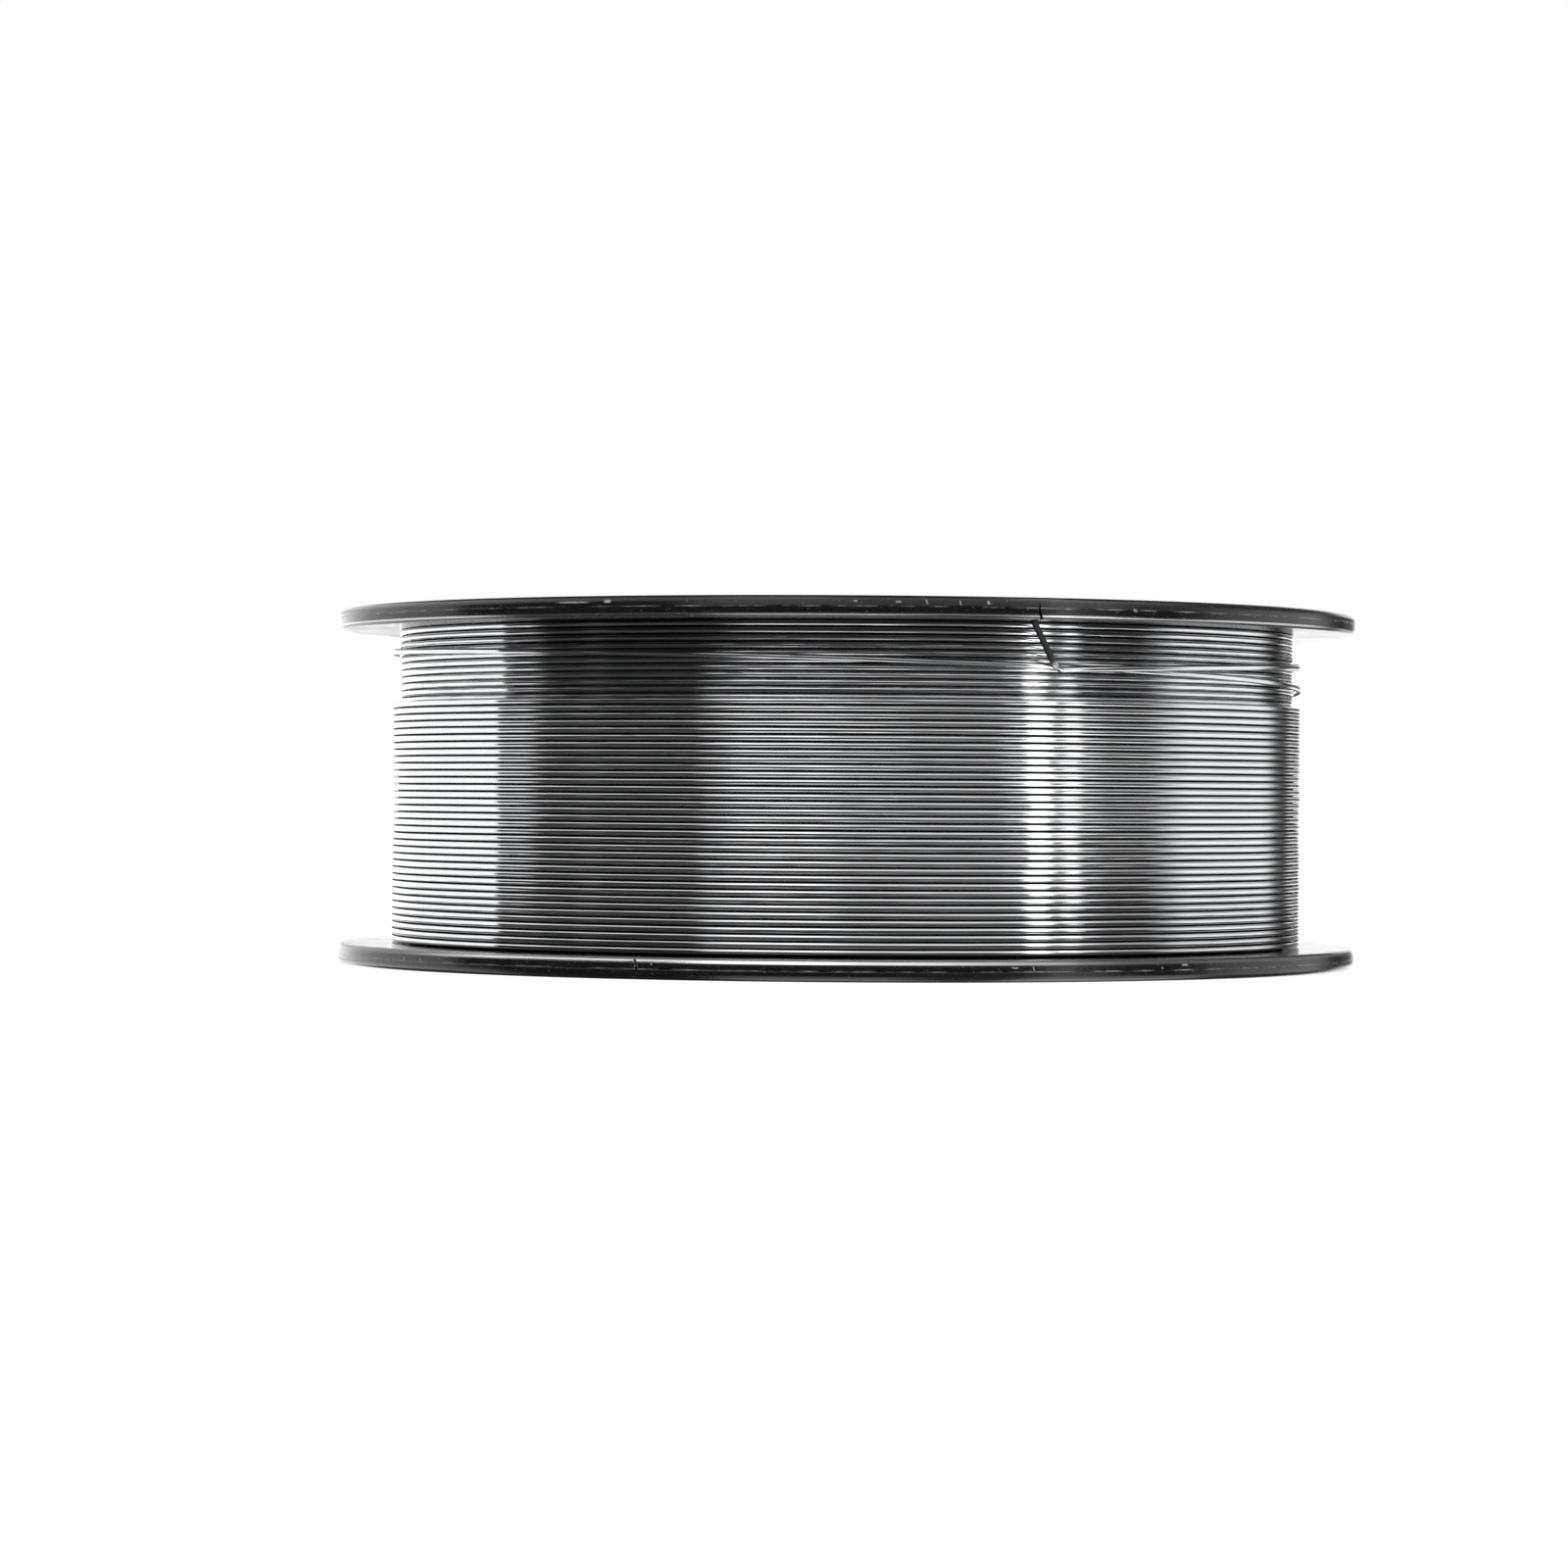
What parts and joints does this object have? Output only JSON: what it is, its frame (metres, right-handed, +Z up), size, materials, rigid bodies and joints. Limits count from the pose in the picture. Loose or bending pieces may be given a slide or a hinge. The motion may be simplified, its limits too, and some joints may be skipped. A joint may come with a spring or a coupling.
{
  "type": "solder wire spool",
  "caption": "Flanged moulded reel lying on one flange, wound nearly full with fine bright solder wire whose outer end is hooked through the upper rim.",
  "frame": {"origin": "centre of the lower flange's outer face, on the reel's axis", "axes": "+Z up along the reel's axis, -Y towards the side that the picture shows"},
  "size_m": [0.1, 0.1, 0.0345],
  "materials": {
    "flange_plastic": "black moulded polystyrene, satin gloss",
    "drum_plastic": "black moulded polystyrene",
    "solder_wire": "bright drawn tin alloy",
    "rosin_flux": "amber rosin"
  },
  "bodies": {
    "root": {"lower_flange": "flange_plastic", "upper_flange": "flange_plastic", "winding_drum": "drum_plastic", "wire_core_layers": "solder_wire", "wire_outer_turns": "solder_wire", "wire_end_hook": "solder_wire", "wire_start_tail": "solder_wire", "flux_core": "rosin_flux"}
  },
  "joints": []
}
